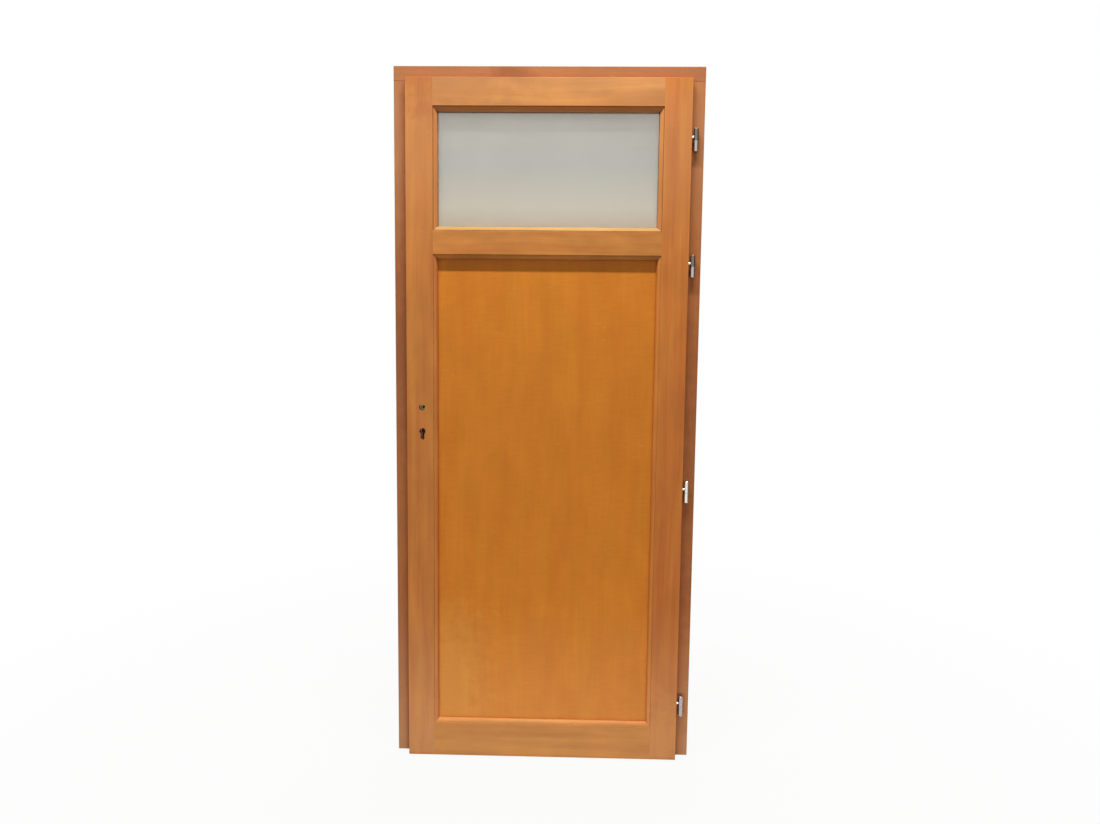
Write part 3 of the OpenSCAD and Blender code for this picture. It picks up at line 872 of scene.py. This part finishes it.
# Glass colour by height: painted light and reflection, warmer and lighter low down, greyer high up.
GLASS_PAINTED_LIGHT = {
    0.0: (197, 178, 157),
    0.2: (205, 198, 182),
    0.55: (181, 180, 174),
    1.0: (181, 177, 169),
}
FROSTED_GLASS = FrostedGlassFinish("frosted_glass", GLASS_PAINTED_LIGHT)
# Where the painted glint on the hinge stems ends.
STEM_END = 419.6 * MM
HINGE_STEEL = MetalFinish(
    "hinge_steel", (190, 181, 182), (160, 151, 150), (222, 214, 214), glint_below=STEM_END
)
# Lit and shaded copies of the hinge steel, painting the light and shade that fall on single knuckles.
LIT_HINGE_STEEL = MetalFinish(
    "lit_hinge_steel", (238, 234, 226), (214, 208, 198), (250, 247, 242), glint_below=STEM_END
)
SHADED_HINGE_STEEL = MetalFinish(
    "shaded_hinge_steel", (132, 124, 116), (104, 97, 90), (172, 164, 156), glint_below=STEM_END
)
LOCK_STEEL = MetalFinish("lock_steel", (158, 156, 150), (118, 112, 102), (204, 202, 196))
CASE_ZINC = MetalFinish(
    "case_zinc", (244, 238, 224), (226, 218, 202), (252, 248, 240), dust_and_shade_share=0.0
)
LOCK_BRASS = MetalFinish("lock_brass", (176, 148, 88), (124, 100, 58), (214, 190, 132))


def dress_node(name: str, material: Material) -> Piece:
    """Give a solid that keeps its shape a finish.

    Args:
        name: The solid's name in the frame.
        material: Its finish.

    Returns:
        The solid's object.
    """
    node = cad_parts[name]
    if not node.material_slots:
        node.data.materials.append(material)
    for slot in node.material_slots:
        slot.material = material
    return node


@dataclass
class Board:
    """One timber of the door: its solid's shape with the long arrises eased."""

    node: str
    body: str
    slot: str
    grain: Grain
    ease: float
    ease_steps: int = 3
    least_length: float = 60 * MM
    least_run: float = 0.9999
    merge: float = 0.01 * MM
    broad_face: float = 0.002
    flat: float = math.radians(0.2)
    crease: float = math.radians(22)
    corner: float = math.radians(50)

    def build(self, material: Material) -> Piece:
        """Build the eased copy in place of its solid.

        Args:
            material: The board's finish.

        Returns:
            The board's object.
        """
        form = bmesh.new()
        form.from_mesh(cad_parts[self.node].data)
        bmesh.ops.remove_doubles(form, verts=form.verts, dist=self.merge)
        bmesh.ops.dissolve_limit(form, angle_limit=self.flat, verts=form.verts, edges=form.edges)
        bmesh.ops.bevel(
            form,
            geom=list(self.arrises(form)),
            offset=self.ease,
            offset_type="OFFSET",
            segments=self.ease_steps,
            profile=0.5,
            affect="EDGES",
            clamp_overlap=True,
        )
        self.shade(form)
        mesh = bpy.data.meshes.new(f"{self.node}_timber")
        form.to_mesh(mesh)
        form.free()
        mesh.materials.append(material)
        piece = bpy.data.objects.new(f"{self.node}_timber", mesh)
        bpy.context.scene.collection.objects.link(piece)
        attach(piece, self.body)
        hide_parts(self.node)
        return piece

    def arrises(self, form: bmesh.types.BMesh) -> Iterator[bmesh.types.BMEdge]:
        """Find the long outer corners that run with the grain.

        Args:
            form: The board's mesh.

        Yields:
            Each edge to ease.
        """
        along = self.grain.axis()
        for edge in form.edges:
            if len(edge.link_faces) != 2 or edge.calc_length() < self.least_length:
                continue
            run = (edge.verts[1].co - edge.verts[0].co).normalized()
            if abs(run.dot(along)) > self.least_run and edge.calc_face_angle_signed() > self.corner:
                yield edge

    def shade(self, form: bmesh.types.BMesh) -> None:
        """Shade curved strips smoothly and keep the flats flat.

        Args:
            form: The board's mesh.
        """
        for face in form.faces:
            face.smooth = True
        for edge in form.edges:
            faces = edge.link_faces
            if len(faces) != 2:
                continue
            broad = max(face.calc_area() for face in faces) > self.broad_face
            edge.smooth = not (broad or edge.calc_face_angle() > self.crease)


Timbers = tuple[tuple[str, Grain, TimberFinish], ...]


@dataclass
class Joinery:
    """Timbers of one body that are eased and stained alike."""

    body: str
    slot: str
    ease: float
    first_board: int
    timbers: Timbers

    def build(self, effects: Effects) -> Iterator[Piece]:
        """Build the timbers and stain them.

        Args:
            effects: The shared node groups.

        Yields:
            Each timber's object.
        """
        for number, (node, grain, finish) in enumerate(self.timbers, self.first_board):
            board = Board(node, self.body, self.slot, grain, self.ease)
            yield board.build(finish.material(effects, grain, number))


@dataclass
class DoorFrame(Joinery):
    """Head and jambs of the frame."""

    body: str = "frame"
    slot: str = "frame_wood"
    ease: float = 0.9 * MM
    first_board: int = 1
    timbers: Timbers = (
        ("head", Grain.LEVEL, HEAD_TIMBER),
        ("jamb_lock_side", Grain.UPRIGHT, LOCK_JAMB_TIMBER),
        ("jamb_hinge_side", Grain.UPRIGHT, LIT_HINGE_JAMB_TIMBER),
    )


@dataclass
class DoorLeaf(Joinery):
    """Stiles, rails and the veneered panel."""

    body: str = "leaf"
    slot: str = "leaf_wood"
    ease: float = 1.0 * MM
    first_board: int = 11
    timbers: Timbers = (
        ("stile_lock_side", Grain.UPRIGHT, STILE_TIMBER),
        ("stile_hinge_side", Grain.UPRIGHT, RED_STILE_TIMBER),
        ("top_rail", Grain.LEVEL, RAIL_TIMBER),
        ("mid_rail", Grain.LEVEL, RAIL_TIMBER),
        ("bottom_rail", Grain.LEVEL, FOOT_RAIL_TIMBER),
    )

    def build(self, effects: Effects) -> Iterator[Piece]:
        """Build the timbers and veneer the panel.

        Args:
            effects: The shared node groups.

        Yields:
            Each piece's object.
        """
        yield from super().build(effects)
        number = self.first_board + len(self.timbers)
        yield dress_node("panel", PANEL_VENEER.material(effects, Grain.UPRIGHT, number))


@dataclass
class Glazing(Joinery):
    """The frosted pane and the mitred beads that hold it."""

    body: str = "leaf"
    slot: str = "bead_wood"
    ease: float = 0.6 * MM
    first_board: int = 21
    timbers: Timbers = (
        ("glazing_bead_top", Grain.LEVEL, BEAD_TIMBER),
        ("glazing_bead_bottom", Grain.LEVEL, TOP_LIT_SILL_BEAD_TIMBER),
        ("glazing_bead_lock_side", Grain.UPRIGHT, BEAD_TIMBER),
        ("glazing_bead_hinge_side", Grain.UPRIGHT, BEAD_TIMBER),
    )

    def build(self, effects: Effects) -> Iterator[Piece]:
        """Build the beads and etch the pane.

        Args:
            effects: The shared node groups.

        Yields:
            Each piece's object.
        """
        yield from super().build(effects)
        yield dress_node("glass_pane", FROSTED_GLASS.material(effects))


@dataclass
class Hinges:
    """Four lift-off hinges, each a knuckle on the leaf and one on the frame."""

    count: int = 4
    parts: Names = ("leaf_knuckle", "frame_knuckle", "pin", "washer")
    # Knuckles given the painted shaded and lit copies of the steel.
    shaded_knuckles: Names = ("hinge_1_leaf_knuckle", "hinge_2_leaf_knuckle")
    lit_knuckles: Names = ("hinge_3_leaf_knuckle", "hinge_3_frame_knuckle")

    def build(self, effects: Effects) -> Iterator[Piece]:
        """Plate every hinge part.

        Args:
            effects: The shared node groups.

        Yields:
            Each part's object.
        """
        plain = HINGE_STEEL.material(effects)
        finishes = dict.fromkeys(self.shaded_knuckles, SHADED_HINGE_STEEL.material(effects))
        finishes |= dict.fromkeys(self.lit_knuckles, LIT_HINGE_STEEL.material(effects))
        for number in range(1, self.count + 1):
            for part in self.parts:
                node = f"hinge_{number}_{part}"
                yield dress_node(node, finishes.get(node, plain))


@dataclass
class ScrewRow:
    """Countersunk screws with a cross recess, in a line up a plate."""

    node: str
    body: str
    facing: Facing
    count: int = 2
    sides: int = 24
    shank_share: float = 0.53
    tip_share: float = 0.7
    head_depth: float = 2 * MM
    recess_width: float = 0.9 * MM
    recess_length: float = 4.2 * MM
    recess_depth: float = 1.1 * MM

    def build(self, material: Material) -> Piece:
        """Build the row in place of its solids.

        Args:
            material: The screws' finish.

        Returns:
            The row's object.
        """
        low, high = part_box(self.node)
        head = high.y - low.y
        outer = low.x if self.facing is Facing.LOCK_EDGE else high.x
        start = Vector((outer, (low.y + high.y) / 2, low.z + head / 2))
        sizes = {
            "Head Diameter": head,
            "Head Depth": self.head_depth,
            "Shank Diameter": head * self.shank_share,
            "Length": high.x - low.x,
            "Recess Width": self.recess_width,
            "Recess Length": self.recess_length,
            "Recess Depth": self.recess_depth,
            "Pitch": (high.z - low.z - head) / (self.count - 1),
        }
        piece = bpy.data.objects.new(f"{self.node}_crossed", bpy.data.meshes.new(self.node))
        bpy.context.scene.collection.objects.link(piece)
        row = piece.modifiers.new("Screw row", "NODES")
        row.node_group = self.tree(tuple(sizes), start, material)
        for item in row.node_group.interface.items_tree:
            if item.in_out == "INPUT":
                row[item.identifier] = sizes[item.name]
        graph = bpy.context.evaluated_depsgraph_get()
        mesh = bpy.data.meshes.new_from_object(piece.evaluated_get(graph))
        piece.modifiers.remove(row)
        piece.data = mesh
        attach(piece, self.body)
        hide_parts(self.node)
        return piece

    def tree(self, sizes: Names, start: Vector, material: Material) -> bpy.types.NodeTree:
        """Build the node tree that makes one screw and repeats it.

        Args:
            sizes: Names of the tree's inputs.
            start: Middle of the lowest screw's head.
            material: The screws' finish.

        Returns:
            The geometry node tree.
        """
        tree = bpy.data.node_groups.new(f"{self.node}_row", "GeometryNodeTree")
        sockets = tree.interface
        for name in sizes:
            sockets.new_socket(name=name, in_out="INPUT", socket_type="NodeSocketFloat")
        sockets.new_socket(name="Screws", in_out="OUTPUT", socket_type="NodeSocketGeometry")
        wires = Wiring(tree)
        size = wires.node("NodeGroupInput").outputs
        head_depth, length = size["Head Depth"], size["Length"]
        head_radius = wires.times(size["Head Diameter"], 0.5)
        shank_radius = wires.times(size["Shank Diameter"], 0.5)
        tip_radius = wires.times(shank_radius, self.tip_share)
        reach = wires.sum_up("SUBTRACT", length, head_depth)
        head = self.taper(wires, head_radius, shank_radius, head_depth, head_depth)
        shank = self.taper(wires, shank_radius, tip_radius, reach, length)
        bored = wires.node("GeometryNodeMeshBoolean", {0: head}, operation="DIFFERENCE")
        depth = wires.times(size["Recess Depth"], 2.0)
        for wide, long in (("X", "Y"), ("Y", "X")):
            feeds = {wide: size["Recess Width"], long: size["Recess Length"], "Z": depth}
            shape = wires.node("ShaderNodeCombineXYZ", feeds).outputs[0]
            cut = wires.node("GeometryNodeMeshCube", {"Size": shape}).outputs["Mesh"]
            tree.links.new(cut, bored.inputs[1])
        screw = wires.node("GeometryNodeJoinGeometry")
        tree.links.new(shank, screw.inputs[0])
        tree.links.new(bored.outputs["Mesh"], screw.inputs[0])
        pitch = wires.node("ShaderNodeCombineXYZ", {"Z": size["Pitch"]}).outputs[0]
        feeds = {"Count": self.count, "Start Location": tuple(start), "Offset": pitch}
        line = wires.node("GeometryNodeMeshLine", feeds).outputs["Mesh"]
        turn = wires.node("FunctionNodeEulerToRotation", {"Euler": (0.0, self.facing.value, 0.0)})
        feeds = {"Points": line, "Instance": screw.outputs[0], "Rotation": turn.outputs[0]}
        placed = wires.node("GeometryNodeInstanceOnPoints", feeds).outputs[0]
        real = wires.node("GeometryNodeRealizeInstances", {0: placed}).outputs[0]
        plated = wires.node("GeometryNodeSetMaterial", {"Geometry": real, "Material": material})
        wires.node("NodeGroupOutput", {"Screws": plated.outputs[0]})
        return tree

    def taper(
        self, wires: Wiring, top: Socket, bottom: Socket, depth: Socket, sunk: Socket
    ) -> Socket:
        """Turn one tapered length of a screw.

        Args:
            wires: The tree's wiring.
            top: Radius of its outer end.
            bottom: Radius of its inner end.
            depth: How long it is.
            sunk: How far below the head's face its inner end lies.

        Returns:
            The mesh, with the screw's axis along Z.
        """
        feeds = {"Vertices": self.sides, "Radius Top": top, "Radius Bottom": bottom, "Depth": depth}
        cone = wires.node("GeometryNodeMeshCone", feeds).outputs["Mesh"]
        down = wires.times(sunk, -1.0)
        shift = wires.node("ShaderNodeCombineXYZ", {"Z": down}).outputs[0]
        feeds = {"Geometry": cone, "Translation": shift}
        return wires.node("GeometryNodeTransform", feeds).outputs[0]


@dataclass
class MortiseLock:
    """Case, bolts and follower in the stile, and the strike plate in the jamb."""

    zinc_parts: Names = ("lock_case", "lock_cover")
    steel_parts: Names = ("lock_forend", "strike_plate", "latch_spring")
    brass_parts: Names = ("latch_bolt", "deadbolt", "follower")

    def build(self, effects: Effects) -> Iterator[Piece]:
        """Plate the lock's parts and drive its screws.

        Args:
            effects: The shared node groups.

        Yields:
            Each part's object.
        """
        steel = LOCK_STEEL.material(effects)
        plated = (
            (self.zinc_parts, CASE_ZINC.material(effects)),
            (self.steel_parts, steel),
            (self.brass_parts, LOCK_BRASS.material(effects)),
        )
        for parts, plating in plated:
            for part in parts:
                yield dress_node(part, plating)
        yield ScrewRow("forend_screws", "leaf", Facing.LOCK_EDGE).build(steel)
        yield ScrewRow("strike_screws", "frame", Facing.DOORWAY).build(steel)


@dataclass(frozen=True)
class Lamp:
    """One area lamp."""

    name: str
    spot: Point
    target: Point
    width: float
    height: float
    power: float
    mirrored: bool = True

    def build(self) -> Piece:
        """Hang the lamp and aim it.

        Returns:
            The lamp's object.
        """
        light = bpy.data.lights.new(self.name, "AREA")
        light.shape = "RECTANGLE"
        light.size = self.width
        light.size_y = self.height
        light.energy = self.power
        lamp = bpy.data.objects.new(self.name, light)
        lamp.location = self.spot
        aim = Vector(self.target) - Vector(self.spot)
        lamp.rotation_euler = aim.to_track_quat("-Z", "Y").to_euler()
        lamp.visible_camera = False
        lamp.visible_glossy = self.mirrored
        bpy.context.scene.collection.objects.link(lamp)
        return lamp


KEY_LAMP = Lamp(
    "key_lamp", spot=(-0.15, -0.92, 4.6), target=(-0.15, -0.04, 1.3), width=2.4, height=0.1, power=224.0
)
FLOOR_STRIP = Lamp(
    "floor_strip", spot=(0.0, -0.5, 0.03), target=(0.0, 0.0, 0.2),
    width=1.2, height=0.05, power=1.25, mirrored=False,
)
BACK_LAMP = Lamp(
    "back_lamp", spot=(0.2, 1.7, 4.4), target=(0.0, 0.04, 1.1),
    width=2.4, height=0.2, power=120.0, mirrored=False,
)


@dataclass
class Studio:
    """Pale floor, soft lamps, white surround and the camera."""

    lamps: tuple[Lamp, ...] = (KEY_LAMP, FLOOR_STRIP, BACK_LAMP)
    focal_pixels: float = 720.0
    sensor: float = 36.0
    eye: Point = (0.0594, -2.1856, 1.2709)
    yaw: float = math.radians(1.228)
    pitch: float = math.radians(-5.065)
    roll: float = math.radians(-0.624)
    floor_drop: float = 6 * MM
    floor_half: float = 9.0
    floor_tone: Swatch = (152, 149, 144)
    floor_glow: float = 0.94
    fade_start: float = 0.5
    fade_reach: float = 2.6
    ambient: float = 0.36
    fill_tone: Swatch = (255, 237, 225)
    card_spot: Point = (2.6, 0.6, 1.6)
    card_half: float = 2.2
    card_tone: Swatch = (96, 88, 80)

    def build(self) -> Iterator[Piece]:
        """Build the whole studio.

        Yields:
            Each of its objects.
        """
        scene = bpy.context.scene
        scene.view_settings.view_transform = "Standard"
        self.surround(scene)
        yield self.camera(scene)
        yield self.floor()
        yield self.grey_card()
        for lamp in self.lamps:
            yield lamp.build()

    def camera(self, scene: bpy.types.Scene) -> Piece:
        """Set up the camera at the photograph's angle.

        Args:
            scene: The scene it belongs to.

        Returns:
            The camera's object.
        """
        data = bpy.data.cameras.new("camera")
        data.sensor_fit = "HORIZONTAL"
        data.sensor_width = self.sensor
        data.lens = self.focal_pixels / PHOTO_WIDTH * self.sensor
        camera = bpy.data.objects.new("camera", data)
        turns = ((self.yaw, "Z"), (self.pitch, "X"), (self.roll, "Y"), (math.pi / 2, "X"))
        pose = Matrix.Translation(self.eye)
        for angle, axis in turns:
            pose = pose @ Matrix.Rotation(angle, 4, axis)
        camera.matrix_world = pose
        scene.collection.objects.link(camera)
        scene.camera = camera
        return camera

    @staticmethod
    def seen(wires: Wiring) -> Socket:
        """Tell rays that show the background from rays that light the object.

        Args:
            wires: The tree's wiring.

        Returns:
            One for camera, glossy and transmission rays, and nought for the rest.
        """
        path = wires.node("ShaderNodeLightPath").outputs
        mirror = wires.sum_up("MAXIMUM", path["Is Glossy Ray"], path["Is Transmission Ray"])
        return wires.sum_up("MAXIMUM", path["Is Camera Ray"], mirror)

    def surround(self, scene: bpy.types.Scene) -> None:
        """Make the surround white to look at and faint as a light.

        Args:
            scene: The scene it belongs to.
        """
        world = bpy.data.worlds.new("studio")
        world.use_nodes = True
        world.node_tree.nodes.clear()
        wires = Wiring(world.node_tree)
        seen = self.seen(wires)
        colour = wires.blend(seen, tone(self.fill_tone), WHITE)
        strength = wires.remap(seen, 0.0, 1.0, self.ambient, 1.0)
        glow = wires.node("ShaderNodeBackground", {"Color": colour, "Strength": strength})
        wires.node("ShaderNodeOutputWorld", {"Surface": glow.outputs[0]})
        scene.world = world

    @staticmethod
    def sheet(name: str, half: float, pose: Matrix, surface: Material) -> Piece:
        """Make a flat square that belongs to the studio.

        Args:
            name: The square's name.
            half: Half the length of its side.
            pose: Where it lies and which way it looks.
            surface: Its material.

        Returns:
            The square's object.
        """
        form = bmesh.new()
        bmesh.ops.create_grid(form, x_segments=1, y_segments=1, size=half, matrix=pose)
        mesh = bpy.data.meshes.new(name)
        form.to_mesh(mesh)
        form.free()
        mesh.materials.append(surface)
        sheet = bpy.data.objects.new(name, mesh)
        bpy.context.scene.collection.objects.link(sheet)
        sheet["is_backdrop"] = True
        return sheet

    def floor(self) -> Piece:
        """Lay the floor, which fades into the surround and keeps the shadow.

        Returns:
            The floor's object.
        """
        material, wires = new_material("floor")
        away = wires.vector("LENGTH", wires.place())
        share = wires.remap(away, self.fade_start, self.fade_reach, self.floor_glow, 1.0)
        share = wires.times(share, self.seen(wires))
        matt = wires.node("ShaderNodeBsdfDiffuse", {"Color": tone(self.floor_tone)}).outputs[0]
        glow = wires.node("ShaderNodeEmission", {"Strength": 1.0}).outputs[0]
        both = wires.node("ShaderNodeMixShader", {0: share, 1: matt, 2: glow}).outputs[0]
        wires.node("ShaderNodeOutputMaterial", {"Surface": both})
        pose = Matrix.Translation((0.0, 0.0, -self.floor_drop))
        return self.sheet("floor", self.floor_half, pose, material)

    def grey_card(self) -> Piece:
        """Stand a card beside the door that only shows in mirrorings, to round the barrels.

        Returns:
            The card's object.
        """
        material, wires = new_material("grey_card")
        feeds = {"Color": tone(self.card_tone), "Strength": 1.0}
        glow = wires.node("ShaderNodeEmission", feeds).outputs[0]
        wires.node("ShaderNodeOutputMaterial", {"Surface": glow})
        pose = Matrix.Translation(self.card_spot) @ Matrix.Rotation(-math.pi / 2, 4, "Y")
        card = self.sheet("grey_card", self.card_half, pose, material)
        for ray in ("camera", "diffuse", "transmission", "shadow"):
            setattr(card, f"visible_{ray}", False)
        return card


def write_sizes() -> None:
    """Gather the solids' box and the dressed model's box as lists."""
    boxes = {"cad": CAD_BOX, "visual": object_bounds()}
    plain = {name: [list(low), list(high)] for name, (low, high) in boxes.items()}


def main() -> None:
    """Build the studio and the door, and report each piece."""
    logging.basicConfig(level=logging.INFO, format="%(name)s: %(message)s")
    effects = Effects()
    for thing in Studio().build():
        log.info("studio: %s", thing.name)
    for assembly in (DoorFrame(), DoorLeaf(), Glazing(), Hinges(), MortiseLock()):
        for piece in assembly.build(effects):
            log.info("%s: %s", type(assembly).__name__, piece.name)
    write_sizes()


if __name__ == "__main__":
    main()
